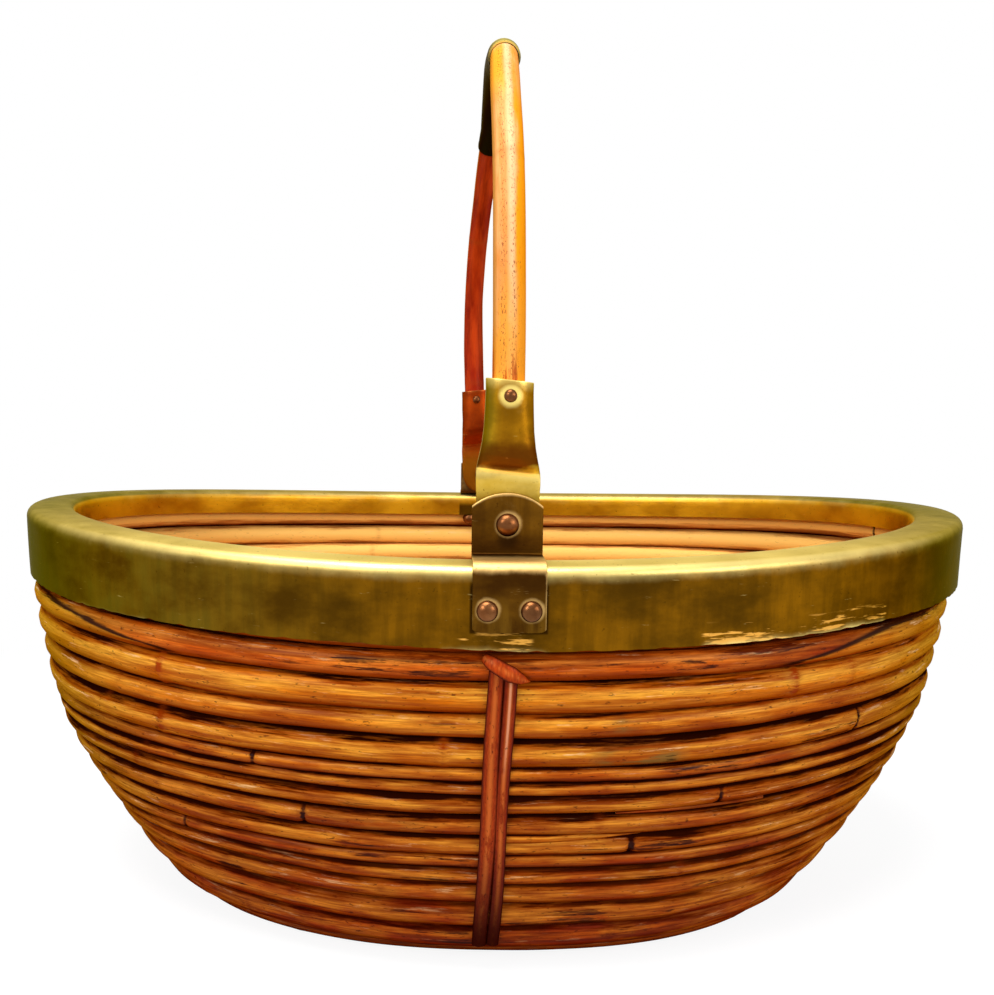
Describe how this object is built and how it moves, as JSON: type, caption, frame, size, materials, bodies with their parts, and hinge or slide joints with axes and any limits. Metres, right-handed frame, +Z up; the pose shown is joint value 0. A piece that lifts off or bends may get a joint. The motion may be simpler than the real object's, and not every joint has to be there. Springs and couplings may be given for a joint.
{
  "type": "basket",
  "caption": "Oval basket of canes laid in rows, with a riveted brass band over the rim and a swinging arched cane handle with a metal grip",
  "frame": {"origin": "the middle of the oval base, on the ground", "axes": "+X along the oval's long side, to the right in the picture; +Y from the front to the back, along the hinge line; +Z up"},
  "size_m": [0.46, 0.3498, 0.408],
  "materials": {
    "wall_cane": "satin varnish",
    "handle_cane": "satin varnish",
    "binding_cane": "satin varnish",
    "aged_brass": "satin",
    "copper_rivet": "satin"
  },
  "bodies": {
    "basket": {"wall_hoop_01": "wall_cane", "wall_hoop_02": "wall_cane", "wall_hoop_03": "wall_cane", "wall_hoop_04": "wall_cane", "wall_hoop_05": "wall_cane", "wall_hoop_06": "wall_cane", "wall_hoop_07": "wall_cane", "wall_hoop_08": "wall_cane", "wall_hoop_09": "wall_cane", "wall_hoop_10": "wall_cane", "wall_hoop_11": "wall_cane", "wall_hoop_12": "wall_cane", "wall_hoop_13": "wall_cane", "wall_hoop_14": "wall_cane", "wall_hoop_15": "wall_cane", "wall_hoop_16": "wall_cane", "rim_core_outer": "wall_cane", "rim_core_inner": "wall_cane", "base_hoop_1": "wall_cane", "base_hoop_2": "wall_cane", "base_hoop_3": "wall_cane", "base_hoop_4": "wall_cane", "base_hoop_5": "wall_cane", "base_hoop_6": "wall_cane", "base_hoop_7": "wall_cane", "base_hoop_8": "wall_cane", "base_core_cane": "wall_cane", "rim_band": "aged_brass", "front_bracket": "aged_brass", "back_bracket": "aged_brass", "front_rim_rivet_left": "copper_rivet", "front_rim_rivet_right": "copper_rivet", "front_rim_burr_left": "copper_rivet", "front_rim_burr_right": "copper_rivet", "front_pivot_rivet": "copper_rivet", "front_pivot_burr": "copper_rivet", "back_rim_rivet_left": "copper_rivet", "back_rim_rivet_right": "copper_rivet", "back_rim_burr_left": "copper_rivet", "back_rim_burr_right": "copper_rivet", "back_pivot_rivet": "copper_rivet", "back_pivot_burr": "copper_rivet", "front_strip_left": "binding_cane", "front_strip_right": "binding_cane", "front_strip_knot": "binding_cane", "back_strip_left": "binding_cane", "back_strip_right": "binding_cane", "back_strip_knot": "binding_cane"},
    "handle": {"handle_cane": "handle_cane", "grip_sleeve": "aged_brass", "front_ferrule": "aged_brass", "back_ferrule": "aged_brass", "front_ferrule_rivet": "copper_rivet", "back_ferrule_rivet": "copper_rivet"}
  },
  "joints": [
    {"name": "handle_swing", "type": "hinge", "parent": "basket", "child": "handle", "pos_m": [0, 0, 0.18915], "axis": [0, 1, 0], "range_deg": [-89, 89]}
  ]
}
